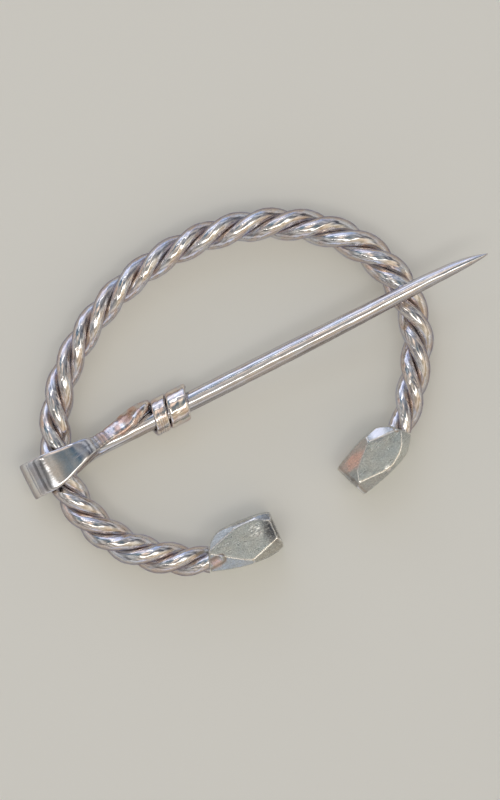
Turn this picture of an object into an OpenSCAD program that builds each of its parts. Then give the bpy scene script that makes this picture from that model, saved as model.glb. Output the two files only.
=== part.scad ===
// Open ring brooch: a hoop twisted from three thick wires, a faceted block on each
// of its two ends, and a loose pin forged from one rod. The pin's flattened end goes
// round the hoop as an eye and is wound twice round its own shank.
// X runs along the pin towards its tip, Z is up, and the brooch lies on Z = 0 with
// the origin under the middle of its box.

/* [Hoop] */
// Long axis of the oval, measured along the middle of the twisted rod
hoop_long = 49.9; // [46:0.1:54]
// Short axis of the oval
hoop_short = 39.2; // [37:0.2:44]
// Turn of the long axis away from the pin's direction, in degrees
hoop_turn = 8.8; // [6:0.2:12]
// Mean radius of the twisted rod over the crests of its wires
rod_radius = 2.06; // [1.8:0.02:2.1]
// How much thicker the rod is beside the long axis than beside the short one
rod_swell = 0.16; // [0:0.02:0.2]
// Share of its radius that the rod loses where it meets a block
rod_end_taper = 0.12; // [0:0.02:0.2]

/* [Twist] */
// Length of one full turn of the wires on the right and top of the hoop
long_pitch = 13.4; // [12:0.1:15]
// Length of one full turn on the lower left of the hoop
short_pitch = 11.9; // [11:0.1:14]
// Radius of one wire as a share of the rod's radius
wire_share = 0.44; // [0.40:0.01:0.45]

/* [Blocks] */
// Length of a faceted block along its own axis
block_length = 9.7; // [8:0.1:11]
// Width of a block at its widest place
block_width = 5.8; // [5:0.1:6.2]
// Thickness of a block, which also holds the hoop clear of the table
block_thick = 6.0; // [5.8:0.1:6.6]

/* [Pin] */
// Length of the pin over its eye and its tip
pin_length = 65.6; // [62:0.2:70]
// Thickness of the flattened band where it passes over the hoop
band_thick = 0.7; // [0.6:0.05:0.8]
// Width of the band at the far end of the eye
band_width = 4.8; // [4:0.1:5.2]
// Thickness of the band where it passes under the hoop
under_thick = 0.56; // [0.4:0.02:0.6]
// Distance that the band keeps from the hoop above and below
eye_gap = 0.28; // [0.22:0.02:0.34]
// Distance from the middle of the rod to the outside of the eye
eye_reach = 4.7; // [4:0.05:5.4]
// Full turns that the tail makes round the shank after it crosses over
wrap_turns = 2.1; // [1.6:0.1:2.3]
// Distance between one turn of the tail and the next
wrap_pitch = 2.5; // [2.4:0.05:2.8]

/* [Hidden] */

// Places in the frame, worked out from the sizes above
hoop_z = block_thick / 2;
hoop_mid = [-3.55, -0.55];
pin_above_mid = 1.5;
pin_y = hoop_mid[1] + pin_above_mid;
tip_x = pin_length / 2;
eye_x = -pin_length / 2;
rod_x = eye_x + eye_reach;

function unit(v) = v / norm(v);
function flat_turn(p, angle) =
    [p[0] * cos(angle) - p[1] * sin(angle), p[0] * sin(angle) + p[1] * cos(angle)];
function smooth(u) = let (w = min(max(u, 0), 1)) w * w * (3 - 2 * w);

// The middle line of the twisted rod. It is an oval, and t is the oval's own angle,
// which grows from the right block over the top of the hoop to the left block.
right_end_t = -54.8;
left_end_t = 231.2;
// The rod runs a little inside the oval just before the right block
inset_depth = 0.42;
inset_from = -58;
inset_span = 40;
function inset(t) =
    t > inset_from + inset_span ? 0 : inset_depth * pow(sin(180 * (t - inset_from) / inset_span), 2);
function oval(t) = flat_turn([hoop_long / 2 * cos(t), hoop_short / 2 * sin(t)], hoop_turn);
function oval_out(t) = unit(flat_turn([cos(t) / hoop_long, sin(t) / hoop_short], hoop_turn));
function rod_mid(t) = let (p = hoop_mid + oval(t) - inset(t) * oval_out(t)) [p[0], p[1], hoop_z];
function rod_way(t) = unit(rod_mid(t + 0.5) - rod_mid(t - 0.5));

// Radius of the twisted rod: two swells round the oval, and a taper at either end
swell_at = 15;
taper_span = 12;
function rod_end_share(t) = smooth(min(t - right_end_t, left_end_t - t) / taper_span);
function rod_r(t) =
    (rod_radius + rod_swell * cos(2 * (t - swell_at))) * (1 - rod_end_taper * (1 - rod_end_share(t)));

// Faceted blocks. In its own frame a block starts at the rod, its axis is X, and +Y is
// the side that faces out of the hoop.
// Columns: place of the block's start, heading of its axis, side of the hoop's outside
block_at = 0;
block_head = 1;
block_side = 2;
left_block = [[-16.52, -17.95], -3.1, -1];
right_block = [[13.4, -14.1], 199.4, 1];
// Columns of an outline: place along the block, place across as a share of half its width.
// It runs from the outer corner at the rod to the inner corner at the rod.
left_outline = [
    [-0.27, 0.56], [2.4, 0.82], [4.8, 0.97], [7.4, 1], [9, 0.92], [9.7, 0.79],
    [9.7, -0.81], [8.3, -0.93], [5.9, -1], [2.9, -0.97], [2, -0.87], [0.9, -0.55]
];
right_outline = [
    [-0.05, 0.46], [0.9, 0.72], [1.75, 0.9], [3, 0.97], [5.7, 0.98], [8.7, 0.88], [9.7, 0.81],
    [9.78, -0.81], [9.2, -0.87], [5.55, -0.97], [2.4, -0.86], [1.86, -0.73], [1.2, -0.52]
];
drawn_length = 9.7;
long = block_length / drawn_length;
wide = block_width / 2;
// The flat face at the rod: the way it looks, back along the rod, and a place just before it
joint_gap = 0.1;
function on_block(b, p) =
    b[block_at] + flat_turn([p[0] * long, p[1] * wide * b[block_side]], b[block_head]);
function face_way(b, outline) =
    let (e = unit(on_block(b, outline[len(outline) - 1]) - on_block(b, outline[0])))
    b[block_side] * [e[1], -e[0], 0];
function face_at(b, outline) =
    let (p = on_block(b, outline[0])) [p[0], p[1], hoop_z] + joint_gap * face_way(b, outline);

// Wires of the hoop. Their ends are cut flat, side by side with the blocks' rod faces.
wires = 3;
wire_sides = 10;
wire_steps = 122;
wire_t = [for (i = [0 : wire_steps]) right_end_t + (left_end_t - right_end_t) * i / wire_steps];
last = len(wire_t) - 1;
// Length along the rod at each station, added up chord by chord
wire_s = [for (i = 0, s = 0; i <= last;
    s = s + (i < last ? norm(rod_mid(wire_t[i + 1]) - rod_mid(wire_t[i])) : 0), i = i + 1) s];
// The pitch changes where the rod has passed under the pin's eye
pitch_change = 80;
first_crest = 52;
function wire_angle(s) = first_crest + 360 * (min(s, pitch_change) / long_pitch
    + max(s - pitch_change, 0) / short_pitch);
function wire_out(i, k) =
    let (o = oval_out(wire_t[i]), a = wire_angle(wire_s[i]) + 360 * k / wires)
    [o[0] * cos(a), o[1] * cos(a), sin(a)];
function wire_mid(i, k) = rod_mid(wire_t[i]) + (1 - wire_share) * rod_r(wire_t[i]) * wire_out(i, k);
right_face_at = face_at(right_block, right_outline);
right_face_way = face_way(right_block, right_outline);
left_face_at = face_at(left_block, left_outline);
left_face_way = face_way(left_block, left_outline);
// Moves a point along a direction onto the plane through a place, square to a normal
function onto(p, way, place, normal) = p + way * ((place - p) * normal) / (way * normal);
function wire_ring(i, k) =
    let (
        way = unit(wire_mid(min(i + 1, last), k) - wire_mid(max(i - 1, 0), k)),
        out = wire_out(i, k),
        up = unit(out - (out * way) * way),
        side = cross(way, up),
        r = wire_share * rod_r(wire_t[i])
    )
    [for (j = [0 : wire_sides - 1])
        let (a = 360 * j / wire_sides, p = wire_mid(i, k) + r * (cos(a) * up + sin(a) * side))
        i == 0 ? onto(p, way, right_face_at, right_face_way) :
        i == last ? onto(p, way, left_face_at, left_face_way) : p];

// A closed skin over a list of rings that all have the same number of points
module skin(rings) {
    n = len(rings[0]);
    m = len(rings);
    polyhedron(
        points = [for (r = rings) for (p = r) p],
        faces = concat(
            [[for (j = [0 : n - 1]) j]],
            [for (i = [0 : m - 2]) for (j = [0 : n - 1])
                let (a = i * n + j, b = i * n + (j + 1) % n) each [[a, a + n, b + n], [a, b + n, b]]],
            [[for (j = [n - 1 : -1 : 0]) (m - 1) * n + j]]
        )
    );
}

module hoop_wire(k) {
    color("silver") skin([for (i = [0 : last]) wire_ring(i, k)]);
}

// The top and the bottom of a block are alike, and every facet is one flat cut.
// Corners of the top face, from the rod's outer side round to its inner side. Columns: place
// along, place across, slope of the cut from the edge that starts at this corner, in degrees
left_face = [
    [0.65, -0.54, 34], [4.48, 1.96, 36], [5.4, 2.35, 32], [9.36, 1, 45], [9.36, -1.49, 34],
    [7.5, -2.46, 50], [5.12, -2.42, 34], [0.75, -0.96, 0]
];
right_face = [
    [0.5, 0.06, 36], [1.69, 1.39, 36], [2.86, 2, 38], [4.53, 2.34, 40], [5.7, 2.11, 34],
    [8.96, 0.8, 40], [8.13, -0.4, 42], [4.4, -2.02, 32], [1.58, -0.79, 0]
];
cutter = 30;

// Removes what lies beyond the plane through a point, square to a normal
module cut(point, normal) {
    n = unit(normal);
    translate(point) rotate([0, acos(n[2]), atan2(n[1], n[0])])
        translate([-cutter / 2, -cutter / 2, 0]) cube(cutter);
}

module block(row, outline, face) {
    top = block_thick / 2;
    corners = len(face);
    translate([row[block_at][0], row[block_at][1], hoop_z]) rotate(row[block_head])
        mirror([0, row[block_side] > 0 ? 0 : 1, 0]) difference() {
            translate([0, 0, -top]) linear_extrude(block_thick)
                polygon([for (p = outline) [p[0] * long, p[1] * wide]]);
            for (w = [1, -1], i = [0 : corners - 2]) mirror([0, 0, w > 0 ? 0 : 1])
                let (a = face[i], b = face[i + 1], e = unit([b[0] - a[0], b[1] - a[1]]))
                    cut([a[0] * long, a[1], top], [-e[1] * sin(a[2]), e[0] * sin(a[2]), cos(a[2])]);
        }
}

module terminal_left() {
    color("silver") block(left_block, left_outline, left_face);
}

module terminal_right() {
    color("silver") block(right_block, right_outline, right_face);
}

// The shank is straight. It leaves the eye low and rises to lie on the far side of the hoop.
shank_low = [-15, 2.42];
shank_high = [22.2, 6.14];
function shank_z(x) = shank_low[1]
    + (x - shank_low[0]) * (shank_high[1] - shank_low[1]) / (shank_high[0] - shank_low[0]);
// Columns: place along the pin, radius of the shank, place across from the pin's line
shank_rows = [
    [tip_x, 0.06, -0.13], [tip_x - 0.4, 0.18, -0.1], [tip_x - 1.4, 0.4, 0],
    [tip_x - 3.8, 0.72, 0.15], [tip_x - 7.8, 0.9, 0.25],
    [20, 1.0, 0.2], [13.5, 1.12, 0.16], [4.5, 1.25, 0.15], [-4, 1.27, 0.15], [-8.5, 1.26, 0.15],
    [-12, 1.2, 0.15], [-18, 1.16, 0.12], [-20.6, 1.12, 0.12]
];

// Heights of the band above and below the hoop, and the bend that joins them
rod_top = rod_radius + rod_swell / 2;
over_z = hoop_z + rod_top + eye_gap + band_thick / 2;
under_z = hoop_z - rod_top - eye_gap - under_thick / 2;
bend_r = (over_z - under_z) / 2;
bend_x = eye_x + bend_r + band_thick / 2;
bend_z = (over_z + under_z) / 2;
band_off_y = 0.15;
band_square = 0.35;
band_y = pin_y + band_off_y;

// Columns: place X, Y and Z, half width, half thickness, squareness of the section
under_rows = [
    [-22.2, pin_y + 0.12, 1.62, 1.12, 0.95, 0.85],
    [-23.6, pin_y + 0.12, 1.14, 1.15, 0.66, 0.7],
    [-25.0, pin_y + 0.12, 0.62, 1.4, 0.44, 0.55],
    [-26.3, pin_y + 0.12, under_z + 0.06, 1.75, 0.31, 0.4],
    [rod_x, pin_y + 0.14, under_z, 2.1, under_thick / 2, band_square]
];
bend_steps = 10;
bend_rows = [for (i = [0 : bend_steps])
    let (a = 180 * i / bend_steps, u = i / bend_steps)
    [bend_x - bend_r * sin(a), band_y, bend_z - bend_r * cos(a),
        band_width / 2, (under_thick + (band_thick - under_thick) * u) / 2, band_square]];
over_rows = [
    [-28.4, band_y + 0.08, over_z, 2.27, band_thick / 2, band_square],
    [-26.6, band_y + 0.3, over_z, 1.84, band_thick / 2, band_square],
    [-25.0, band_y + 0.5, over_z - 0.05, 1.5, band_thick / 2, 0.4],
    [-23.7, band_y + 0.66, over_z - 0.45, 1.2, band_thick / 2, 0.45],
    [-22.6, band_y + 0.62, over_z - 1.15, 0.98, 0.37, 0.5]
];

// The tail is leaf-shaped. It lies along the upper side of the shank, then winds round it.
// Its place is given by an angle about the shank, from 0 on top through 90 on the far side.
// Columns: place along the pin, angle, distance from the shank, half width, half
// thickness, squareness
tail_rows = [
    [-21.4, 20, 2.66, 0.9, 0.42, 0.55],
    [-20.3, 28, 2.2, 1.0, 0.5, 0.65],
    [-18.9, 37, 2.06, 1.2, 0.6, 0.72],
    [-17.6, 47, 2.1, 1.36, 0.66, 0.75],
    [-16.4, 60, 2.22, 1.24, 0.76, 0.72]
];
tail_path = [for (r = tail_rows)
    [r[0], pin_y + r[2] * sin(r[1]), shank_z(r[0]) + r[2] * cos(r[1]), r[3], r[4], r[5]]];

// The turns round the shank. They begin with the tail's bulky section, which thins out over
// the first quarter turn, and the tail's very end is a thin lip.
wrap_ref_x = -13.55;
wrap_off_y = 0.3;
wrap_reach = 1.95;
wrap_drop = 1.72;
wrap_from = 78;
wrap_step = 18;
wrap_last = wrap_from + 360 * wrap_turns;
thinning = 90;
lead_x = 0.25;
lead_reach = 0.02;
lead_section = [1.1, 0.78, 0.7];
first_half_width = 0.92;
last_half_width = 1.34;
widen_from = 430;
widen_span = 200;
wrap_thick = 0.36;
wrap_square = 0.4;
lip_width = 0.8;
lip_thick = 0.24;
function wrap_width(a) =
    first_half_width + (last_half_width - first_half_width) * smooth((a - widen_from) / widen_span);
wrap_path = [for (a = [wrap_from : wrap_step : wrap_last])
    let (
        done = smooth((a - wrap_from) / thinning),
        left = 1 - done,
        x = wrap_ref_x + (a - 360) / 360 * wrap_pitch + lead_x * left,
        lip = a + wrap_step > wrap_last
    )
    [x, pin_y + wrap_off_y + (wrap_reach + lead_reach * left) * sin(a), shank_z(x) + wrap_drop * cos(a),
        lip ? lip_width * wrap_width(a) : lead_section[0] * left + wrap_width(a) * done,
        lip ? lip_thick : lead_section[1] * left + wrap_thick * done,
        lead_section[2] * left + wrap_square * done]];

pin_rows = concat(
    [for (r = shank_rows) [r[0], pin_y + r[2], shank_z(r[0]), r[1], r[1], 1]],
    under_rows, bend_rows, over_rows, tail_path, wrap_path
);
pin_last = len(pin_rows) - 1;
pin_sides = 12;
function pin_place(i) = [pin_rows[i][0], pin_rows[i][1], pin_rows[i][2]];
// The direction in which a section's outer face looks: down on the shank and under the
// hoop, round the bend, up on top with a growing lean, and away from the shank further on
over_lean = 8;
shank_count = len(shank_rows) + len(under_rows);
bend_count = shank_count + len(bend_rows);
over_count = bend_count + len(over_rows);
tail_count = over_count + len(tail_path);
function pin_outer(i) =
    i < shank_count ? [0, 0, -1] :
    i < bend_count ? let (a = 180 * (i - shank_count) / bend_steps) [-sin(a), 0, -cos(a)] :
    i < over_count ? let (a = over_lean * (i - bend_count)) [0, sin(a), cos(a)] :
    i < tail_count ? let (a = tail_rows[i - over_count][1]) [0, sin(a), cos(a)] :
    let (a = wrap_from + wrap_step * (i - tail_count)) [0, sin(a), cos(a)];
function rounded(c, e) = sign(c) * pow(abs(c), e);
function pin_ring(i) =
    let (
        row = pin_rows[i],
        way = unit(pin_place(min(i + 1, pin_last)) - pin_place(max(i - 1, 0))),
        out = pin_outer(i),
        up = unit(out - (out * way) * way),
        side = cross(way, up)
    )
    [for (j = [0 : pin_sides - 1])
        let (a = -360 * (j + 0.5) / pin_sides)
        pin_place(i) + row[3] * rounded(cos(a), row[5]) * side + row[4] * rounded(sin(a), row[5]) * up];

module pin() {
    color("silver") skin([for (i = [0 : pin_last]) pin_ring(i)]);
}

hoop_wire(0);  // hoop_wire_1
hoop_wire(1);  // hoop_wire_2
hoop_wire(2);  // hoop_wire_3
terminal_left();
terminal_right();
pin();
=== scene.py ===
import math
import bpy
import numpy as np
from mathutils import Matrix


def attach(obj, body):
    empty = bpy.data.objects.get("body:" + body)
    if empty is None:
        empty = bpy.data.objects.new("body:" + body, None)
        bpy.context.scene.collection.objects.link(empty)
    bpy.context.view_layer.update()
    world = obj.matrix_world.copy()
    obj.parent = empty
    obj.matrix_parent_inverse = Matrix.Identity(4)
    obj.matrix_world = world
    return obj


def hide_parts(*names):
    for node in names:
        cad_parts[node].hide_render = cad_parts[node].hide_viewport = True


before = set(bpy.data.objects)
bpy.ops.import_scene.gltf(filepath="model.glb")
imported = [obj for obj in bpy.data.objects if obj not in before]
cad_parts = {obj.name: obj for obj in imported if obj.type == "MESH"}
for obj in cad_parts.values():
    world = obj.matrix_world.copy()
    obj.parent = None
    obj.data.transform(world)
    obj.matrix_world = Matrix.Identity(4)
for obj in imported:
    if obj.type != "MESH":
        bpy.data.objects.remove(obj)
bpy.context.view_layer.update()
mm = 0.001

# Camera: straight above the brooch, turned so that the pin points up to the right
cameraValues = {
    "aim": (-2.5, -2.2, 4.0),    # the point in the middle of the picture, in mm
    "height": 520.0,             # far above it, so that nothing leans
    "turn": -26.7,               # degrees about the view's own line
    "pixelsPerMm": 7.83,
    "pictureHeight": 800,
    "sensor": 24.0,
}


def placeCamera(v):
    # focal length = sensor height times distance times pixels per mm over the picture's height
    cam = bpy.data.cameras.new("photoCamera")
    cam.sensor_fit = "VERTICAL"
    cam.sensor_height = v["sensor"]
    cam.lens = v["sensor"] * v["height"] * v["pixelsPerMm"] / v["pictureHeight"]
    cam.clip_start = 0.01
    obj = bpy.data.objects.new("photoCamera", cam)
    obj.location = [a * mm for a in (v["aim"][0], v["aim"][1], v["aim"][2] + v["height"])]
    obj.rotation_euler = (0, 0, math.radians(v["turn"]))
    bpy.context.scene.collection.objects.link(obj)
    bpy.context.scene.camera = obj


placeCamera(cameraValues)
print("camera placed")


def unitRows(v):
    # every vector divided by its own length
    return v / np.maximum(np.linalg.norm(v, axis=-1, keepdims=True), 1e-12)


def smoothStep(u):
    # 3 u squared minus 2 u cubed, with u held between 0 and 1
    w = np.clip(u, 0, 1)
    return w * w * (3 - 2 * w)


def turnFlat(x, y, degrees):
    # a turn about Z: x cos - y sin, x sin + y cos
    a = math.radians(degrees)
    return x * math.cos(a) - y * math.sin(a), x * math.sin(a) + y * math.cos(a)


unevenValues = {"waves": 9, "spread": (0.6, 1.5), "gain": 1.6}


def unevenness(points, wavelength, seed):
    # mean of nine sine waves that run in scattered directions, each near one wavelength long
    v = unevenValues
    rng = np.random.default_rng(seed)
    ways = unitRows(rng.normal(size=(v["waves"], 3))) * (2 * math.pi / wavelength)
    ways = ways * rng.uniform(*v["spread"], (v["waves"], 1))
    phase = rng.uniform(0, 2 * math.pi, v["waves"])
    return np.sin(points @ ways.T + phase).mean(axis=-1) * v["gain"]


def bell(x, middle, width):
    # e to the power of minus the square of the distance over the width
    return np.exp(-((x - middle) / width) ** 2)


def surfaceFromRings(name, rings, uv, marks):
    # Rings of points become four-sided faces between neighbouring rings. A fan to the middle
    # of the first and the last ring closes the two ends. uv holds one extra column, so the
    # pattern runs on past the seam. Faces are turned over if the enclosed volume comes out
    # negative: the sum of a . (b x c) over the triangles.
    m, n = rings.shape[:2]
    points = np.concatenate([rings.reshape(-1, 3), rings[:1].mean(axis=1), rings[-1:].mean(axis=1)])
    i, j = np.meshgrid(np.arange(m - 1), np.arange(n), indexing="ij")
    nextJ = (j + 1) % n
    quads = np.stack([i * n + j, (i + 1) * n + j, (i + 1) * n + nextJ, i * n + nextJ], -1)
    quads = quads.reshape(-1, 4)
    quadUv = np.stack([uv[i, j], uv[i + 1, j], uv[i + 1, j + 1], uv[i, j + 1]], -2).reshape(-1, 2)
    k = np.arange(n)
    first = np.stack([np.full(n, m * n), k, (k + 1) % n], -1)
    final = np.stack([np.full(n, m * n + 1), (m - 1) * n + (k + 1) % n, (m - 1) * n + k], -1)
    fanUv = np.concatenate([
        np.stack([uv[0, k], uv[0, k], uv[0, k + 1]], 1).reshape(-1, 2),
        np.stack([uv[-1, k], uv[-1, k + 1], uv[-1, k]], 1).reshape(-1, 2)])
    a, b, c, d = (points[quads[:, q]] for q in range(4))
    volume = (a * np.cross(b, c)).sum() + (a * np.cross(c, d)).sum()
    loopUv = np.concatenate([quadUv, fanUv])
    faces = quads.tolist() + first.tolist() + final.tolist()
    if volume < 0:
        faces = [f[::-1] for f in faces]
        loopUv = np.concatenate([quadUv.reshape(-1, 4, 2)[:, ::-1].reshape(-1, 2),
                                 fanUv.reshape(-1, 3, 2)[:, ::-1].reshape(-1, 2)])
    mesh = bpy.data.meshes.new(name)
    mesh.from_pydata((points * mm).tolist(), [], faces)
    layer = mesh.uv_layers.new(name="alongAndAround")
    layer.data.foreach_set("uv", loopUv.astype(np.float32).ravel())
    for title, values in marks.items():
        ends = [values[0].mean(), values[-1].mean()]
        mesh.attributes.new(title, "FLOAT", "POINT").data.foreach_set(
            "value", np.concatenate([values.ravel(), ends]).astype(np.float32))
    mesh.polygons.foreach_set("use_smooth", np.ones(len(faces), dtype=bool))
    mesh.update()
    obj = bpy.data.objects.new(name, mesh)
    bpy.context.scene.collection.objects.link(obj)
    return obj


# Metal: one builder, three finishes. Lengths inside it are in mm.
metalValues = {
    # ranges of noise that are spread from 0 to 1, the size of its lumps, and shares
    "driftRange": (0.38, 0.62), "streakLump": 0.43, "warmRange": (0.44, 0.58),
    "dirtAndShadeLump": 0.7, "dirtAndShadeRange": (0.3, 0.7), "dirtAndShadeLeast": 0.65,
    "speckRange": (0.35, 0.65), "pitRange": (0.37, 0.50), "wornAndLitShare": 0.9,
    "glossLump": 0.9, "glossRange": (0.35, 0.65), "dirtAndShadeGloss": 0.25, "wornGloss": 0.4,
    "lineRange": (0.45, 0.75), "wornBump": 0.2,
}


def link(tree, a, b):
    tree.links.new(a, b)


def feed(tree, pairs):
    # a socket among the values is linked, and a plain value is set
    for socket, value in pairs:
        if isinstance(value, bpy.types.NodeSocket):
            link(tree, value, socket)
        else:
            socket.default_value = value


def noiseNode(tree, vector, size, detail=3.0, rough=0.55):
    # noise whose lumps are about size mm across
    node = tree.nodes.new("ShaderNodeTexNoise")
    node.inputs["Scale"].default_value = 1.0 / size
    node.inputs["Detail"].default_value = detail
    node.inputs["Roughness"].default_value = rough
    link(tree, vector, node.inputs["Vector"])
    return node.outputs["Fac"]


def markNode(tree, title):
    # a mark kept on the mesh's points, 0 on a piece that has none of that name
    node = tree.nodes.new("ShaderNodeAttribute")
    node.attribute_name = title
    return node.outputs["Fac"]


def scaled(tree, vector, factors):
    # coordinates times one factor for each direction
    node = tree.nodes.new("ShaderNodeMapping")
    node.inputs["Scale"].default_value = factors
    link(tree, vector, node.inputs["Vector"])
    return node.outputs["Vector"]


def spread(tree, value, low, high, toLow, toHigh):
    # a straight-line map of one range onto another, held at its ends
    node = tree.nodes.new("ShaderNodeMapRange")
    for title, number in (("From Min", low), ("From Max", high),
                          ("To Min", toLow), ("To Max", toHigh)):
        node.inputs[title].default_value = number
    link(tree, value, node.inputs["Value"])
    return node.outputs["Result"]


def mixed(tree, share, a, b):
    # a times (1 - share) plus b times share, for colors
    node = tree.nodes.new("ShaderNodeMix")
    node.data_type = "RGBA"
    feed(tree, ((node.inputs["Factor"], share), (node.inputs["A"], a), (node.inputs["B"], b)))
    return node.outputs["Result"]


def combined(tree, operation, a, b):
    # arithmetic on two numbers, each a socket or a plain value
    node = tree.nodes.new("ShaderNodeMath")
    node.operation = operation
    feed(tree, zip(node.inputs, (a, b)))
    return node.outputs["Value"]


def times(tree, a, b):
    return combined(tree, "MULTIPLY", a, b)


def plus(tree, a, b):
    return combined(tree, "ADD", a, b)


def vectorMath(tree, operation, *values):
    # arithmetic on vectors. A scale takes a number last, and a dot product gives a number.
    node = tree.nodes.new("ShaderNodeVectorMath")
    node.operation = operation
    sockets = (node.inputs[0], node.inputs["Scale"]) if operation == "SCALE" else node.inputs
    feed(tree, zip(sockets, values))
    return node.outputs["Value" if operation == "DOT_PRODUCT" else "Vector"]


def silverMetal(name, v):
    # Bright metal in three tints that drift into each other in streaks along the piece. It is
    # darker where the mark "shade" is high, which holds dirt and tarnish and also painted shade,
    # rosy where "blush" is, which on the right block's end facets is a painted warm reflection,
    # bright and smooth where the worn mark is, which is wear and also a painted highlight, and
    # dotted with dark pits where "pitted" is. Roughness follows its own noise, plus a part of the
    # dirt and painted shade, the blush and the drawn lines. The bump is fine grain plus lines
    # drawn along the piece, less the pits.
    m = metalValues
    material = bpy.data.materials.new(name)
    material.use_nodes = True
    tree = material.node_tree
    shader = tree.nodes["Principled BSDF"]
    shader.inputs["Metallic"].default_value = 1.0
    shader.inputs["Specular Tint"].default_value = v["edgeTint"]
    coords = tree.nodes.new("ShaderNodeTexCoord")
    place = scaled(tree, coords.outputs["Object"], (1 / mm,) * 3)
    lines = scaled(tree, coords.outputs["UV"], v["lineScale"])
    streaks = scaled(tree, coords.outputs["UV"], v["streakScale"])
    shade, pitted = markNode(tree, "shade"), markNode(tree, "pitted")
    wornAndLit, blush = markNode(tree, "wornAndLit"), markNode(tree, "blush")

    drift = spread(tree, noiseNode(tree, streaks, 1.0), *m["driftRange"], 0, 1)
    patches = plus(tree, times(tree, noiseNode(tree, place, v["tintSize"]), 0.5),
                   times(tree, noiseNode(tree, streaks, m["streakLump"], 4), 0.5))
    warm = times(tree, spread(tree, patches, *m["warmRange"], 0, 1), v["warmShare"])
    dirtAndShade = times(tree, shade, spread(tree, noiseNode(tree, place, m["dirtAndShadeLump"]),
                                      *m["dirtAndShadeRange"], m["dirtAndShadeLeast"], 1.0))
    pits = spread(tree, noiseNode(tree, place, v["pitSize"], 2), *m["pitRange"], 0, 1)
    pits = times(tree, pits, pitted)
    speckle = spread(tree, noiseNode(tree, place, v["speckSize"], 2), *m["speckRange"],
                     1 - v["speckShare"], 1 + v["speckShare"])
    color = mixed(tree, drift, v["colorCool"], v["colorPlain"])
    color = mixed(tree, warm, color, v["colorWarm"])
    color = mixed(tree, times(tree, blush, v["blushShare"]), color, v["colorBlush"])
    # dirt, tarnish and painted shade, from the shade mark
    color = mixed(tree, times(tree, dirtAndShade, v["shadeShare"]), color, v["colorShade"])
    color = mixed(tree, pits, color, v["colorPit"])
    color = vectorMath(tree, "SCALE", color, speckle)
    # wear, and painted highlight, from the worn mark
    color = mixed(tree, times(tree, wornAndLit, m["wornAndLitShare"]), color, v["colorWornAndLit"])
    link(tree, color, shader.inputs["Base Color"])

    grain = noiseNode(tree, place, v["grainSize"], 4, 0.65)
    lineNoise = noiseNode(tree, lines, 1.0, 3, 0.6)
    gloss = noiseNode(tree, place, m["glossLump"], 4)
    gloss = spread(tree, gloss, *m["glossRange"], *v["roughness"])
    gloss = plus(tree, gloss, times(tree, dirtAndShade, m["dirtAndShadeGloss"]))
    gloss = times(tree, gloss, spread(tree, wornAndLit, 0, 1, 1, m["wornGloss"]))
    gloss = plus(tree, gloss, times(tree, blush, v["blushGloss"]))
    gloss = plus(tree, gloss, spread(tree, lineNoise, *m["lineRange"], 0, v["lineGloss"]))
    link(tree, gloss, shader.inputs["Roughness"])

    height = times(tree, grain, v["grainHeight"])
    height = plus(tree, height, times(tree, lineNoise, v["lineHeight"]))
    height = combined(tree, "SUBTRACT", height, times(tree, pits, v["pitHeight"]))
    height = times(tree, height, spread(tree, wornAndLit, 0, 1, 1, m["wornBump"]))
    bump = tree.nodes.new("ShaderNodeBump")
    bump.inputs["Strength"].default_value = 1.0
    bump.inputs["Distance"].default_value = mm
    link(tree, height, bump.inputs["Height"])
    link(tree, bump.outputs["Normal"], shader.inputs["Normal"])
    return material


# Hoop: three thick wires twisted left-handed along an open oval
hoopValues = {
    # lengths in mm; angles round the oval, and firstCrest round the rod, in degrees
    "long": 49.9, "short": 39.2, "turn": 8.8, "middle": (-3.55, -0.55, 3.0),
    "rodRadius": 2.06, "swell": 0.16, "swellAt": 15.0, "endTaper": 0.12, "taperSpan": 12.0,
    "insetDepth": 0.42, "insetFrom": -58.0, "insetSpan": 40.0,
    "rightEnd": -54.8, "leftEnd": 231.2, "overrun": 2.6,
    "longPitch": 13.4, "shortPitch": 11.9, "pitchChange": 80.0, "firstCrest": 52.0,
    "wires": 3, "wireShare": 0.47,
    "jointGap": 0.1, "edgeRound": 0.12,
    "stations": 1250, "sides": 60,
    "dentDepth": 0.012, "dentLength": 2.2, "dentSeed": 5, "lineDepth": 0.034, "lineSeed": 31,
    "cutWithin": 6.0,    # mm from a block, where a wire may have to be cut short
    # dirt in the twist by the distance from the rod's middle over its radius, and painted shade
    # on the sides by how far the surface looks up, with a share for the hoop's inner and outer side
    "grooveFrom": 0.82, "grooveSpan": 0.38,
    "sideShade": (0.40, 0.90), "sideFrom": 0.80, "sideFade": 0.24,
    # the crests are worn bright, which also paints a highlight along them: share, where the surface
    # looks up, and how far out from the rod's middle
    "crestWornAndLit": 0.6, "crestFrom": 0.78, "crestSpan": 0.16, "crestOut": 0.8, "crestOutSpan": 0.15,
}
wireLook = {
    "colorPlain": (0.88, 0.86, 0.83, 1), "colorCool": (0.79, 0.80, 0.84, 1),
    "colorWarm": (0.80, 0.62, 0.50, 1), "warmShare": 0.75,
    "colorShade": (0.38, 0.32, 0.28, 1), "shadeShare": 0.78, "colorWornAndLit": (0.92, 0.89, 0.84, 1),
    "colorBlush": (0.80, 0.60, 0.50, 1), "blushShare": 0.6, "blushGloss": 0.0,
    "tintSize": 2.2, "streakScale": (0.22, 3.5, 1.0),
    "edgeTint": (0.40, 0.44, 0.74, 1), "roughness": (0.05, 0.12),
    "speckSize": 0.16, "speckShare": 0.06,
    "grainSize": 0.17, "grainHeight": 0.007,
    "lineScale": (0.25, 13.0, 1.0), "lineHeight": 0.042, "lineGloss": 0.04,
    "pitSize": 0.3, "pitHeight": 0.0, "colorPit": (0.3, 0.3, 0.3, 1),
}


drawnValues = {"fewest": 4, "most": 12, "creep": 0.35, "sunk": 0.4}


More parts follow.
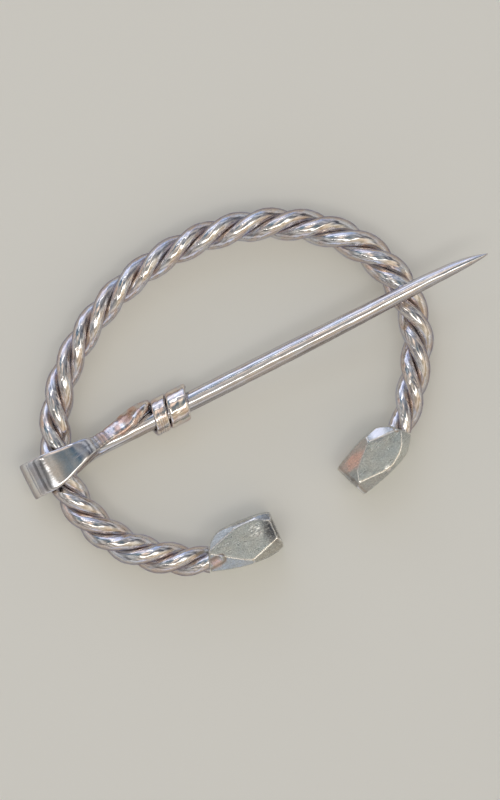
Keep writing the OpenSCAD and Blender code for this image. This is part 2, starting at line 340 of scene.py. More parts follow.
def drawnLines(around, length, seed):
    # long shallow flats: the mean of nine cosines of 4 to 12 times the angle round the wire,
    # each of which creeps slowly round as the length grows, less a fixed part
    v = drawnValues
    rng = np.random.default_rng(seed)
    waves = np.arange(v["fewest"], v["most"] + 1)
    creep = rng.uniform(-v["creep"], v["creep"], len(waves))
    phase = rng.uniform(0, 2 * math.pi, len(waves))
    turn = around[None, :, None] * waves + length[:, None, None] * creep + phase
    return np.cos(turn).mean(axis=-1) - v["sunk"]


def rodMiddle(t, v):
    # The oval (long/2 cos t, short/2 sin t), turned, and drawn in by a sine-squared hump
    # near the right block. Gives the middle and the flat direction that looks outwards.
    rad = np.radians(t)
    x, y = turnFlat(v["long"] / 2 * np.cos(rad), v["short"] / 2 * np.sin(rad), v["turn"])
    ox, oy = turnFlat(np.cos(rad) / v["long"], np.sin(rad) / v["short"], v["turn"])
    out = unitRows(np.stack([ox, oy, np.zeros_like(ox)], -1))
    share = (t - v["insetFrom"]) / v["insetSpan"]
    inset = np.where((share > 0) & (share < 1), v["insetDepth"] * np.sin(math.pi * share) ** 2, 0)
    middle = np.stack([x, y, np.zeros_like(x)], -1) + np.array(v["middle"]) - inset[:, None] * out
    return middle, out


def rodRadius(t, v):
    # mean radius plus a swell by the cosine of twice the angle, less the taper at the ends
    fromEnd = smoothStep(np.minimum(t - v["rightEnd"], v["leftEnd"] - t) / v["taperSpan"])
    swell = v["rodRadius"] + v["swell"] * np.cos(2 * np.radians(t - v["swellAt"]))
    return swell * (1 - v["endTaper"] * (1 - fromEnd))


def heldBefore(points, way, place, normal, edge):
    # Distance before a plane d = (p - place) . normal is made positive by the soft hinge
    # (d + sqrt(d d + e e)) / 2, moving each point back along the wire.
    d = (points - place) @ normal
    soft = (d + np.sqrt(d * d + edge * edge)) / 2
    return points + way * ((soft - d) / (way @ normal))[..., None]


def hoopWire(index, v, planes):
    # A circle carried along a helix round the rod's middle line. The helix angle is the
    # length along the rod over the pitch, plus a third of a turn for each wire. Dirt lies deep
    # in the twist, and painted shade lies down the wire's sides, most on the hoop's outer side.
    # The crests are worn bright, which also paints a highlight along them.
    t = np.linspace(v["rightEnd"] - v["overrun"], v["leftEnd"] + v["overrun"], v["stations"])
    middle, out = rodMiddle(t, v)
    length = np.concatenate([[0], np.cumsum(np.linalg.norm(np.diff(middle, axis=0), axis=1))])
    length -= np.interp(v["rightEnd"], t, length)
    turns = (np.minimum(length, v["pitchChange"]) / v["longPitch"]
             + np.maximum(length - v["pitchChange"], 0) / v["shortPitch"])
    angle = np.radians(v["firstCrest"] + 360 * turns + 360 * index / v["wires"])
    radius = rodRadius(t, v)
    lean = np.cos(angle)[:, None] * out + np.sin(angle)[:, None] * np.array([0, 0, 1.0])
    centre = middle + ((1 - v["wireShare"]) * radius)[:, None] * lean
    way = unitRows(np.gradient(centre, axis=0))
    up = unitRows(lean - (lean * way).sum(-1, keepdims=True) * way)
    side = np.cross(way, up)
    around = np.linspace(0, 2 * math.pi, v["sides"], endpoint=False)
    spoke = (np.cos(around)[None, :, None] * up[:, None]
             + np.sin(around)[None, :, None] * side[:, None])
    wireR = (v["wireShare"] * radius)[:, None, None]
    rings = centre[:, None] + wireR * spoke
    dent = (v["dentDepth"] * unevenness(rings, v["dentLength"], v["dentSeed"] + index)
            + v["lineDepth"] * drawnLines(around, length, v["lineSeed"] + index))
    rings = rings + spoke * dent[..., None]
    allWay = np.broadcast_to(way[:, None], rings.shape)
    for place, normal in planes:
        close = np.linalg.norm(rings - place, axis=-1).min(axis=1) < v["cutWithin"]
        rings[close] = heldBefore(rings[close], allWay[close], place, normal, v["edgeRound"])
    fromMiddle = np.linalg.norm(rings - middle[:, None], axis=-1) / radius[:, None]
    rise = spoke[..., 2]
    # painted shade down the wire's sides, where the surface looks sideways or down, darker on the
    # hoop's outer side
    outwards = smoothStep(0.5 + (spoke * out[:, None]).sum(axis=-1))
    inner, outer = v["sideShade"]
    sides = inner + (outer - inner) * outwards
    sides = sides * smoothStep((v["sideFrom"] - rise) / v["sideFade"])
    shade = np.maximum(smoothStep((v["grooveFrom"] - fromMiddle) / v["grooveSpan"]), sides)
    # worn bright on the crests, which also paints a highlight along them
    wornAndLit = (v["crestWornAndLit"] * smoothStep((rise - v["crestFrom"]) / v["crestSpan"])
            * smoothStep((fromMiddle - v["crestOut"]) / v["crestOutSpan"]))
    uv = np.stack(np.broadcast_arrays(length[:, None], np.linspace(0, 1, v["sides"] + 1)[None]), -1)
    return surfaceFromRings(f"twistedWire{index + 1}", rings, uv, {"shade": shade, "wornAndLit": wornAndLit})


# Blocks: filed facets with softly broken edges. Points run from the rod, in mm along
# and across; the facets' slopes are in degrees below level.
blockValues = {
    "width": 5.8, "thick": 6.0, "middle": 4.9, "edgePower": 76,
    "rows": 210, "columns": 330, "poleGap": 0.004,
    "dentDepth": 0.022, "dentLength": 2.6, "dentSunk": 0.9, "dentSeed": 11,
    "reliefLength": 0.55, "reliefSeed": 81,
    # worn edges: the cosine between two facets under which they meet in a real edge, and the
    # share of the sum over which the edge turns bright, which is wear and also a painted highlight
    "leanFrom": 0.965, "leanSpan": 0.08, "wornAndLitFrom": 0.22, "wornAndLitSpan": 0.45,
    # after levelFrom, the share by which every sloping facet is lightened, as painted light, and
    # how far a rub reaches
    "levelFrom": 0.99, "facetLit": 0.2, "rubReach": 1.4,
    "footWidth": 0.55, "footDirt": 1.0, "pitFade": 1.15, "pitDirt": 0.4,
    "blushFade": 1.2, "blushPatches": 0.25, "blushLength": 0.9, "blushSeed": 91,
    # the sawn end: where a painted shade line lies and how wide, its share, and the share of the
    # painted highlight strip beyond it
    "sawnAt": 9.25, "sawnWidth": 0.13, "sawnShade": 0.7, "stripLit": 0.6,
    "uvPerMm": 0.1,
}
# outline: along, across as a share of half the width; face: along, across, slope of the cut
leftBlock = {
    "node": "terminal_left", "place": (-16.52, -17.95), "heading": -3.1, "side": -1,
    "outline": [(-0.27, 0.56), (2.4, 0.82), (4.8, 0.97), (7.4, 1), (9, 0.92), (9.7, 0.79),
                (9.7, -0.81), (8.3, -0.93), (5.9, -1), (2.9, -0.97), (2, -0.87), (0.9, -0.55)],
    "face": [(0.65, -0.54, 34), (4.48, 1.96, 36), (5.4, 2.35, 32), (9.36, 1, 45), (9.36, -1.49, 34),
             (7.5, -2.46, 50), (5.12, -2.42, 34), (0.75, -0.96, 0)],
    "pitsAt": (9.5, -0.4), "pitsReach": (2.0, 2.9), "endLine": 0.0,
    "blushAt": (0.9, 0.75), "blushReach": (0.9, 0.9), "blushOnTop": 1.0,
    "rubsAndHighlights": [(7.2, -0.9, 0.9, 0.45)], "reliefDepth": 0.066,    # a rub: along, across, reach, share
    "wireEnd": [(-0.8, 0.85), (1.7, 0.6)], "wireEndRadius": 0.55, "wireEndHeight": 0.36,
}
rightBlock = {
    "node": "terminal_right", "place": (13.4, -14.1), "heading": 199.4, "side": 1,
    "outline": [(-0.05, 0.46), (0.9, 0.72), (1.75, 0.9), (3, 0.97), (5.7, 0.98), (8.7, 0.88),
                (9.7, 0.81), (9.78, -0.81), (9.2, -0.87), (5.55, -0.97), (2.4, -0.86),
                (1.86, -0.73), (1.2, -0.52)],
    "face": [(0.5, 0.06, 36), (1.69, 1.39, 36), (2.86, 2, 38), (4.53, 2.34, 40), (5.7, 2.11, 34),
             (8.96, 0.8, 40), (8.13, -0.4, 42), (4.4, -2.02, 32), (1.58, -0.79, 0)],
    # the sawn end gets a painted shade line and a painted highlight strip
    "pitsAt": (9.5, 0.0), "pitsReach": (0.5, 0.3), "endLine": 1.0,
    # the rosy patch here is a painted warm reflection on the end's side facets
    "blushAt": (7.4, -1.6), "blushReach": (2.1, 0.95), "blushOnTop": 0.0,
    # the first rub here also paints a highlight on the facet by the rod
    "rubsAndHighlights": [(2.8, -1.9, 1.2, 0.9), (5.15, 2.2, 0.42, 0.9)], "reliefDepth": 0.0,
    "wireEnd": [(-0.3, -0.8), (0.75, -0.55)], "wireEndRadius": 0.35, "wireEndHeight": 0.14,
}
blockLook = {
    "colorPlain": (0.485, 0.50, 0.465, 1), "colorCool": (0.45, 0.485, 0.47, 1),
    "colorWarm": (0.51, 0.48, 0.41, 1), "warmShare": 0.4,
    "colorShade": (0.34, 0.22, 0.15, 1), "shadeShare": 0.9, "colorWornAndLit": (0.97, 0.93, 0.85, 1),
    "colorBlush": (0.86, 0.55, 0.44, 1), "blushShare": 0.95, "blushGloss": 0.0,
    "tintSize": 2.6, "streakScale": (2.4, 3.6, 1.0),
    "edgeTint": (0.85, 0.88, 0.95, 1), "roughness": (0.24, 0.36),
    "speckSize": 0.17, "speckShare": 0.24,
    "grainSize": 0.16, "grainHeight": 0.024,
    "lineScale": (1.5, 62.0, 1.0), "lineHeight": 0.03, "lineGloss": 0.12,
    "pitSize": 0.26, "pitHeight": 0.09, "colorPit": (0.10, 0.105, 0.11, 1),
}


def blockToFrame(b, x, y):
    # the block's own place turned by its heading, mirrored across its axis for the left one
    fx, fy = turnFlat(np.asarray(x, float), np.asarray(y, float) * b["side"], b["heading"])
    return fx + b["place"][0], fy + b["place"][1]


def jointPlane(b, v, hoop):
    # the plane just before the block's flat face at the rod, and the way it looks
    half = v["width"] / 2
    x, y = blockToFrame(b, [b["outline"][0][0], b["outline"][-1][0]],
                        [b["outline"][0][1] * half, b["outline"][-1][1] * half])
    e = unitRows(np.array([x[1] - x[0], y[1] - y[0], 0.0]))
    normal = b["side"] * np.array([e[1], -e[0], 0.0])
    return np.array([x[0], y[0], hoop["middle"][2]]) + hoop["jointGap"] * normal, normal


def facetPlanes(b, v):
    # Walls stand on the outline's edges. Each edge of the top face starts a sloping cut,
    # above and below. Every plane is its outward normal and its distance from the middle.
    half, top = v["width"] / 2, v["thick"] / 2
    corners = np.array([(x, y * half) for x, y in b["outline"]])
    middle = np.array([v["middle"], 0.0, 0.0])
    nextCorner = np.roll(corners, -1, axis=0)
    edge = unitRows(nextCorner - corners)
    normals = [np.stack([-edge[:, 1], edge[:, 0], 0 * edge[:, 0]], -1)]
    places = [np.column_stack([corners, np.zeros(len(corners))])]
    face = np.array(b["face"], float)
    edge = unitRows(np.diff(face[:, :2], axis=0))
    face = face[:-1]
    slope = np.radians(face[:, 2])
    for level in (1, -1):
        normals.append(np.stack([-edge[:, 1] * np.sin(slope), edge[:, 0] * np.sin(slope),
                                 level * np.cos(slope)], -1))
        places.append(np.column_stack([face[:, :2], np.full(len(face), level * top)]))
        normals.append(np.array([[0, 0, float(level)]]))
        places.append(np.array([[0, 0, level * top]]))
    normals, places = np.concatenate(normals), np.concatenate(places)
    return normals, ((places - middle) * normals).sum(-1)


def ovalReach(x, y, middle, reach):
    # distance from an oval's middle, 1 on the oval
    return np.hypot((x - middle[0]) / reach[0], (y - middle[1]) / reach[1])


def filedBlock(name, b, v, height):
    # In every direction from the block's middle the surface stands at the reach
    # (sum of (n . direction / d) to the power p) to the power -1/p over the facets' planes.
    # A high p leaves the facets flat and breaks the edges between them softly. Every term's
    # share of the sum, counted only where its facet leans away from the nearest one, is 0 on a
    # facet and 1 on a real edge, and marks where the metal is worn bright, which also paints a
    # highlight along the edges.
    normals, distance = facetPlanes(b, v)
    tilt = np.linspace(v["poleGap"], math.pi - v["poleGap"], v["rows"])[:, None]
    around = np.linspace(0, 2 * math.pi, v["columns"], endpoint=False)[None]
    way = np.stack(np.broadcast_arrays(-np.cos(tilt), np.sin(tilt) * np.cos(around),
                                       np.sin(tilt) * np.sin(around)), -1)
    near = np.maximum(way @ normals.T / distance, 0)
    most = near.max(axis=-1)
    nearest = near.argmax(axis=-1)
    terms = (near / most[..., None]) ** v["edgePower"]
    reach = 1 / (most * terms.sum(axis=-1) ** (1 / v["edgePower"]))
    lean = smoothStep((v["leanFrom"] - (normals @ normals.T)[nearest]) / v["leanSpan"])
    wornAndLit = smoothStep(((terms * lean).sum(axis=-1) - v["wornAndLitFrom"]) / v["wornAndLitSpan"])
    points = way * reach[..., None]
    dent = unevenness(points, v["dentLength"], v["dentSeed"] + b["side"]) - v["dentSunk"]
    points = points + way * (v["dentDepth"] * dent)[..., None]
    x, y = points[..., 0] + v["middle"], points[..., 1]
    # rubbed patches are worn bright, and on the right block also paint a highlight on the facet by
    # the rod
    rubbedAndLit = np.max([share * smoothStep(v["rubReach"] - np.hypot(x - at, y - across) / reached)
                     for at, across, reached, share in b["rubsAndHighlights"]], axis=0)
    relief = b["reliefDepth"] * rubbedAndLit * unevenness(points, v["reliefLength"], v["reliefSeed"])
    points = points + way * relief[..., None]
    # a wire's end laps a little onto the block: a ridge over the stretch between two points,
    # round on top as a half circle, with dirt along its foot
    (x0, y0), (x1, y1) = b["wireEnd"]
    alongEnd = (x - x0) * (x1 - x0) + (y - y0) * (y1 - y0)
    run = np.clip(alongEnd / ((x1 - x0) ** 2 + (y1 - y0) ** 2), 0, 1)
    gap = np.hypot(x - x0 - run * (x1 - x0), y - y0 - run * (y1 - y0)) / b["wireEndRadius"]
    onTop = points[..., 2] > 0
    ridge = np.where(onTop, np.sqrt(np.clip(1 - gap * gap, 0, 1)), 0)
    points = points + np.array([0, 0, 1.0]) * (b["wireEndHeight"] * ridge)[..., None]
    foot = np.where(onTop, smoothStep(1 - np.abs(gap - 1.0) / v["footWidth"]), 0)
    # pits and blush fade out over an oval; on the right block the blush is a painted warm
    # reflection
    fromPits = ovalReach(x, y, b["pitsAt"], b["pitsReach"])
    pitted = smoothStep(v["pitFade"] - fromPits)
    patches = v["blushPatches"] * unevenness(points, v["blushLength"], v["blushSeed"])
    blush = smoothStep(v["blushFade"] - ovalReach(x, y, b["blushAt"], b["blushReach"]) + patches)
    onFace = np.abs(normals[nearest, 2]) > v["levelFrom"]
    blush = blush * np.where(onFace, b["blushOnTop"], 1)
    # painted shade: a dark line just before the sawn end; painted highlight: a bright strip beyond
    # it
    sawnShadeLine = b["endLine"] * onTop * bell(x, v["sawnAt"], v["sawnWidth"])
    strip = b["endLine"] * onTop * smoothStep((x - v["sawnAt"] - v["sawnWidth"]) / v["sawnWidth"])
    # wear and painted highlight together: the edges and the rubbed patches, cleared on the painted
    # shade line
    wornAndLit = np.maximum(wornAndLit, rubbedAndLit * onTop) * (1 - np.clip(sawnShadeLine, 0, 1))
    # painted light: every sloping facet is lightened a little
    wornAndLit = np.maximum(wornAndLit, np.where(onFace, 0, v["facetLit"]))
    wornAndLit = np.maximum(wornAndLit, v["stripLit"] * strip)
    shade = np.clip(v["footDirt"] * foot + v["pitDirt"] * pitted + v["sawnShade"] * sawnShadeLine, 0, 1)
    fx, fy = blockToFrame(b, x, y)
    grid = np.stack([fx, fy, points[..., 2] + height], -1)
    uv = np.stack([x, y], -1) * v["uvPerMm"]
    uv = np.concatenate([uv, uv[:, :1]], axis=1)
    return surfaceFromRings(name, grid, uv,
                            {"shade": shade, "pitted": pitted, "blush": blush, "wornAndLit": wornAndLit})


planes = [jointPlane(b, blockValues, hoopValues) for b in (rightBlock, leftBlock)]
wireMetal = silverMetal("wireSilver", wireLook)
for index in range(hoopValues["wires"]):
    wire = hoopWire(index, hoopValues, planes)
    wire.data.materials.append(wireMetal)
    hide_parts(f"hoop_wire_{index + 1}")
    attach(wire, "ring")
print("hoop twisted")

blockMetal = silverMetal("blockSilver", blockLook)
for name, b in (("filedBlockLeft", leftBlock), ("filedBlockRight", rightBlock)):
    piece = filedBlock(name, b, blockValues, hoopValues["middle"][2])
    piece.data.materials.append(blockMetal)
    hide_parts(b["node"])
    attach(piece, "ring")
print("blocks filed")

# Pin: one forged rod. The lists run from the tip down the shank, under the hoop, round
# the bend, back over the hoop, and along the tail into the collar.
pinValues = {
    "y": 0.95, "eyeX": -32.8, "rodLevel": 3.0, "hoopTop": 2.14, "eyeGap": 0.28,
    "bandThick": 0.7, "underThick": 0.56, "bandWidth": 4.8,
    "shankLow": (-15, 2.42), "shankHigh": (22.2, 6.14),
    # place along the pin, radius, place across
    "shank": [(32.8, 0.06, -0.13), (32.4, 0.18, -0.1), (31.4, 0.4, 0), (29, 0.72, 0.15),
              (25, 0.9, 0.25), (20, 1.0, 0.2), (13.5, 1.12, 0.16), (4.5, 1.25, 0.15),
              (-4, 1.27, 0.15), (-8.5, 1.26, 0.15), (-12, 1.2, 0.15), (-18, 1.16, 0.12),
              (-20.6, 1.12, 0.12)],
    # place along, across from the pin's line, height, half width, half thickness, squareness
    "under": [(-22.2, 0.12, 1.62, 1.12, 0.95, 0.85), (-23.6, 0.12, 1.14, 1.15, 0.66, 0.7),
              (-25.0, 0.12, 0.62, 1.4, 0.44, 0.55)],
    # place along, across, above the lower band's level, half width, half thickness, squareness
    "underBand": [(-26.3, 0.12, 0.06, 1.75, 0.31, 0.4), (-28.1, 0.14, 0, 2.1, 0.28, 0.35)],
    "bendSteps": 10, "bandSquare": 0.35, "bandAcross": 0.15,
    # place along, across, below the band's level, half width, half thickness, squareness
    "over": [(-28.4, 0.23, 0, 2.27, 0.35, 0.35), (-26.6, 0.45, 0, 1.84, 0.35, 0.35),
             (-25.0, 0.65, 0.05, 1.5, 0.35, 0.4), (-23.7, 0.81, 0.45, 1.2, 0.35, 0.45),
             (-22.6, 0.77, 1.15, 0.98, 0.37, 0.5)],
    # place along, angle about the shank, distance from it, half width, half thickness, squareness
    "tail": [(-21.4, 20, 2.66, 0.9, 0.42, 0.5), (-20.3, 28, 2.2, 1.0, 0.5, 0.5),
             (-18.9, 35, 2.06, 1.24, 0.58, 0.5), (-17.6, 46, 2.1, 1.38, 0.62, 0.52),
             (-16.4, 60, 2.2, 1.24, 0.72, 0.56)],
    # collar: angles in degrees about the shank, the lead drawn in from the tail over leadTurn
    "wrapX": -13.55, "wrapAcross": 0.3, "wrapReach": 1.95, "wrapDrop": 1.72, "wrapFrom": 78,
    "wrapStep": 18, "wrapTurns": 2.1, "wrapPitch": 2.5, "wrapThick": 0.36, "wrapSquare": 0.4,
    "wrapWidth": 0.92, "widerBy": 0.42, "widerFrom": 430, "widerOver": 200,
    "endWidth": 0.8, "endThick": 0.24,
    "leadTurn": 90, "leadAlong": 0.25, "leadReach": -0.10, "leadSection": (1.15, 0.84, 0.7),
    # the band sinks by crownBend times the square of its mm past crownFrom; overLean is how
    # many degrees each row of "over" leans
    "crownFrom": -27.6, "crownBend": 0.045, "overLean": (0, 0, 2, 7, 14),
    "sides": 56, "fineStep": 0.07, "shankStep": 0.3, "leastSquare": 0.3,
    # stretches of the rod, in rows for the fades after the bend and into the collar, in mm
    # back from the wound end for the collar, in mm from the tip for the rest, and in x for the tail
    "bendRows": 40, "collarLength": 26.0, "collarRows": 30, "smoothTip": 6.0,
    "shankTo": 50.0, "shankFade": 4.0, "underFrom": 56.0, "underFade": 3.0,
    "tailFrom": -22.6, "tailFade": 1.0,
    "dentDepth": 0.016, "dentLength": 2.4, "dentSunk": 0.8, "dentSeed": 21,
    "lineDepth": 0.014, "lineSeed": 41,
    "collarDents": 0.02, "collarDentLength": 0.7, "collarSeed": 71,
    "tailDents": 0.03, "tailDentLength": 0.8, "tailSeed": 72,
    # creases across the neck: place along the pin; and grooves along the collar's first turn:
    # place across as a share of its half width
    "creases": (-23.0, -22.45, -21.95, -21.5, -20.9), "creaseWidth": 0.12, "creaseDepth": 0.055,
    "creaseAbove": 0.2, "bendLines": (-31.5, -32.15), "bendLineWidth": 0.1, "bendLineShare": 0.5,
    "grooves": (-0.55, -0.2, 0.14, 0.5), "grooveWidth": 0.08, "grooveDepth": 0.07,
    "groovesTo": -13.4, "grooveFade": 0.3,
    # darker on the inner faces, in the low places and at the neck; painted shade round the bend and
    # on the flanks
    "innerDarkening": 0.35, "innerFrom": 0.3, "innerSpan": 0.9, "grooveDarkening": 0.8, "creaseDarkening": 0.5,
    "bendShade": 0.8, "bendDark": -31.6, "bendFade": 0.8,
    "neckDarkening": 0.6, "neckDark": -22.1, "neckDarkWidth": 0.9,
    # a flank's painted shade: share, where across it starts, over what span
    "frontFlankShade": (0.9, 0.5, 0.35), "backFlankShade": (0.2, 0.85, 0.15),
    # worn patches, also a painted highlight, and rosy patches: even part, uneven part, mm from one
    # to the next
    "wornAndLitPatches": (0.6, 0.5, 1.1), "wornAndLitSeed": 61,
    "rosyPatches": (0.6, 0.9, 1.2), "rosySeed": 51, "rosyAbove": -0.5, "collarLessRosy": 0.35,
}
pinLook = {
    "colorPlain": (0.83, 0.82, 0.805, 1), "colorCool": (0.76, 0.775, 0.81, 1),
    "colorWarm": (0.78, 0.66, 0.57, 1), "warmShare": 0.45,
    "colorShade": (0.36, 0.29, 0.24, 1), "shadeShare": 0.75, "colorWornAndLit": (0.98, 0.91, 0.81, 1),
    "colorBlush": (0.82, 0.55, 0.43, 1), "blushShare": 0.9, "blushGloss": 0.14,
    "tintSize": 2.2, "streakScale": (0.10, 3.0, 1.0),
    "edgeTint": (0.52, 0.53, 0.66, 1), "roughness": (0.04, 0.10),
    "speckSize": 0.15, "speckShare": 0.06,
    "grainSize": 0.16, "grainHeight": 0.004,
    "lineScale": (0.12, 14.0, 1.0), "lineHeight": 0.025, "lineGloss": 0.04,
    "pitSize": 0.3, "pitHeight": 0.0, "colorPit": (0.3, 0.3, 0.3, 1),
}


def pinRows(v):
    # Every row is a place, half width, half thickness, squareness, and the way that the
    # section's outer face looks: down along the shank, round the bend, up on the band, and
    # away from the shank on the tail and the collar.
    y = v["y"]
    low, high = v["shankLow"], v["shankHigh"]

    def shankZ(x):
        # the straight line through the shank's two known heights
        return low[1] + (x - low[0]) * (high[1] - low[1]) / (high[0] - low[0])

    overZ = v["rodLevel"] + v["hoopTop"] + v["eyeGap"] + v["bandThick"] / 2
    underZ = v["rodLevel"] - v["hoopTop"] - v["eyeGap"] - v["underThick"] / 2
    bendR = (overZ - underZ) / 2
    bendX = v["eyeX"] + bendR + v["bandThick"] / 2
    down, rows = (0, 0, -1), []
    for x, r, off in v["shank"]:
        rows.append((x, y + off, shankZ(x), r, r, 1, *down))
    for x, off, z, w, h, e in v["under"]:
        rows.append((x, y + off, z, w, h, e, *down))
    for x, off, z, w, h, e in v["underBand"]:
        rows.append((x, y + off, underZ + z, w, h, e, *down))
    for i in range(v["bendSteps"] + 1):
        u = i / v["bendSteps"]
        a = math.pi * i / v["bendSteps"]
        x = bendX - bendR * math.sin(a)
        crown = v["crownBend"] * max(v["crownFrom"] - x, 0) ** 2 * max(-math.cos(a), 0)
        z = (overZ + underZ) / 2 - bendR * math.cos(a) - crown
        thick = v["underThick"] + (v["bandThick"] - v["underThick"]) * u
        rows.append((x, y + v["bandAcross"], z, v["bandWidth"] / 2, thick / 2, v["bandSquare"],
                     -math.sin(a), 0, -math.cos(a)))
    for (x, off, drop, w, h, e), degrees in zip(v["over"], v["overLean"]):
        a = math.radians(degrees)
        crown = v["crownBend"] * max(v["crownFrom"] - x, 0) ** 2
        rows.append((x, y + off, overZ - drop - crown, w, h, e, 0, math.sin(a), math.cos(a)))
    for x, angle, reach, w, h, e in v["tail"]:
        a = math.radians(angle)
        rows.append((x, y + reach * math.sin(a), shankZ(x) + reach * math.cos(a), w, h, e,
                     0, math.sin(a), math.cos(a)))
    leadWidth, leadThick, leadSquare = v["leadSection"]
    last = v["wrapFrom"] + 360 * v["wrapTurns"]
    for angle in np.arange(v["wrapFrom"], last + 0.01, v["wrapStep"]):
        a = math.radians(angle)
        done = float(smoothStep((angle - v["wrapFrom"]) / v["leadTurn"]))
        left = 1 - done
        x = v["wrapX"] + (angle - 360) / 360 * v["wrapPitch"] + v["leadAlong"] * left
        reach = v["wrapReach"] + v["leadReach"] * left
        wider = float(smoothStep((angle - v["widerFrom"]) / v["widerOver"]))
        width = v["wrapWidth"] + v["widerBy"] * wider
        w, h = leadWidth * left + width * done, leadThick * left + v["wrapThick"] * done
        if angle + v["wrapStep"] > last:
            w, h = v["endWidth"] * width, v["endThick"]
        rows.append((x, y + v["wrapAcross"] + reach * math.sin(a),
                     shankZ(x) + v["wrapDrop"] * math.cos(a), w, h,
                     leadSquare * left + v["wrapSquare"] * done, 0, math.sin(a), math.cos(a)))
    return np.array(rows)


def smoothThrough(rows, stepNear, stepFar, farCount):
    # A cubic curve through the rows by their distance apart: each stretch is the Hermite
    # blend of its two rows and of the slopes there, taken over the neighbouring rows.
    gap = np.linalg.norm(np.diff(rows[:, :3], axis=0), axis=1)
    s = np.concatenate([[0], np.cumsum(gap)])
    slope = np.gradient(rows, s, axis=0)
    step = np.where(np.arange(len(gap)) < farCount, stepFar, stepNear)
    count = np.maximum(np.ceil(gap / step), 2)
    stretches = [s[i] + gap[i] * np.arange(int(c)) / c for i, c in enumerate(count)]
    at = np.concatenate(stretches + [s[-1:]])
    i = np.clip(np.searchsorted(s, at, side="right") - 1, 0, len(gap) - 1)
    h = gap[i][:, None]
    u = ((at - s[i]) / gap[i])[:, None]
    return ((2 * u**3 - 3 * u**2 + 1) * rows[i] + (u**3 - 2 * u**2 + u) * h * slope[i]
            + (3 * u**2 - 2 * u**3) * rows[i + 1] + (u**3 - u**2) * h * slope[i + 1]), at


def forgedPin(v):
    # A section carried along the path. Its outline is (half width cos, half thickness sin)
    # times (|cos| to the power q plus |sin| to the power q) to the power -1/q, where q is 2
    # over the squareness: a round shank at 1, a flat band with soft corners near a third.
    rows, length = smoothThrough(pinRows(v), v["fineStep"], v["shankStep"], len(v["shank"]) - 1)
    centre = rows[:, :3]
    way = unitRows(np.gradient(centre, axis=0))
    out = unitRows(rows[:, 6:9])
    up = unitRows(out - (out * way).sum(-1, keepdims=True) * way)
    side = np.cross(way, up)
    around = 2 * math.pi * (np.arange(v["sides"]) + 0.5) / v["sides"]
    power = 2 / np.clip(rows[:, 5], v["leastSquare"], 1)[:, None]
    c, s = np.cos(around)[None], np.sin(around)[None]
    reach = (np.abs(c) ** power + np.abs(s) ** power) ** (-1 / power)
    c, s = c * reach, s * reach
    spoke = ((rows[:, 3:4] * c)[..., None] * side[:, None]
             + (rows[:, 4:5] * s)[..., None] * up[:, None])
    rings = centre[:, None] + spoke
    # how far each row belongs to the stretch after the bend, the collar, the tail, the shank
    x = centre[:, 0]
    row = np.arange(len(x))
    far = x.argmin()
    afterBend = smoothStep((row - far) / v["bendRows"])
    collarAt = np.searchsorted(length, length[-1] - v["collarLength"])
    onCollar = smoothStep((row - collarAt) / v["collarRows"])
    onTail = afterBend * smoothStep((x - v["tailFrom"]) / v["tailFade"])
    onShank = 1 - smoothStep((length - v["shankTo"]) / v["shankFade"])
    # the section is moved in and out: dents and drawn lines everywhere, creases across the
    # neck and the bend, grooves along the collar's first turn
    crease = sum(bell(x, at, v["creaseWidth"]) for at in v["creases"]) * afterBend * (1 - onCollar)
    lines = sum(bell(x, at, v["bendLineWidth"]) for at in v["bendLines"])
    crease = crease + v["bendLineShare"] * lines * (row > far)
    groove = sum(bell(c, at, v["grooveWidth"]) for at in v["grooves"]) * (s > 0)
    groove = groove * (onCollar * smoothStep((v["groovesTo"] - x) / v["grooveFade"]))[:, None]
    moved = (v["dentDepth"] * (unevenness(rings, v["dentLength"], v["dentSeed"]) - v["dentSunk"])
             + v["lineDepth"] * drawnLines(around, length, v["lineSeed"]))
    moved = moved * smoothStep(length / v["smoothTip"])[:, None]
    moved = moved - v["creaseDepth"] * crease[:, None] * (s > v["creaseAbove"])
    moved = moved - v["grooveDepth"] * groove
    collarDents = unevenness(rings, v["collarDentLength"], v["collarSeed"])
    moved = moved + v["collarDents"] * onCollar[:, None] * collarDents
    tailDents = unevenness(rings, v["tailDentLength"], v["tailSeed"])
    moved = moved + v["tailDents"] * (onTail * (1 - onCollar))[:, None] * tailDents
    rings = rings + unitRows(spoke) * moved[..., None]
    # darker on the inner faces past the shank, in the low places and at the neck; painted shade
    # round the bend and on the shank's flanks
    underside = smoothStep((length - v["underFrom"]) / v["underFade"])[:, None]
    inner = smoothStep((v["innerFrom"] - s) / v["innerSpan"]) * underside
    atBend = smoothStep((v["bendDark"] - x) / v["bendFade"])[:, None]
    neck = (bell(x, v["neckDark"], v["neckDarkWidth"]) * afterBend)[:, None]
    flankShade = sum(share * smoothStep((across - start) / span) for across, (share, start, span) in
                 ((c, v["frontFlankShade"]), (-c, v["backFlankShade"])))
    shade = (v["innerDarkening"] * inner + v["grooveDarkening"] * groove + v["creaseDarkening"] * crease[:, None]
             + v["bendShade"] * atBend + v["neckDarkening"] * neck + onShank[:, None] * flankShade)
    # the collar's worn crests, also a painted highlight, and the tail's rosy patches
    even, uneven, apart = v["wornAndLitPatches"]
    wornAndLit = smoothStep(even + uneven * unevenness(rings, apart, v["wornAndLitSeed"])) * (s > 0)
    wornAndLit = wornAndLit * onCollar[:, None] * (1 - np.clip(groove, 0, 1))
    even, uneven, apart = v["rosyPatches"]
    blush = smoothStep(even + uneven * unevenness(rings, apart, v["rosySeed"]))
    blush = blush * (onTail * (1 - v["collarLessRosy"] * onCollar))[:, None] * (s > v["rosyAbove"])
    uv = np.stack(np.broadcast_arrays(length[:, None], np.linspace(0, 1, v["sides"] + 1)[None]), -1)
    return surfaceFromRings("forgedPin", rings, uv,
                            {"shade": np.clip(shade, 0, 1), "blush": blush, "wornAndLit": wornAndLit})


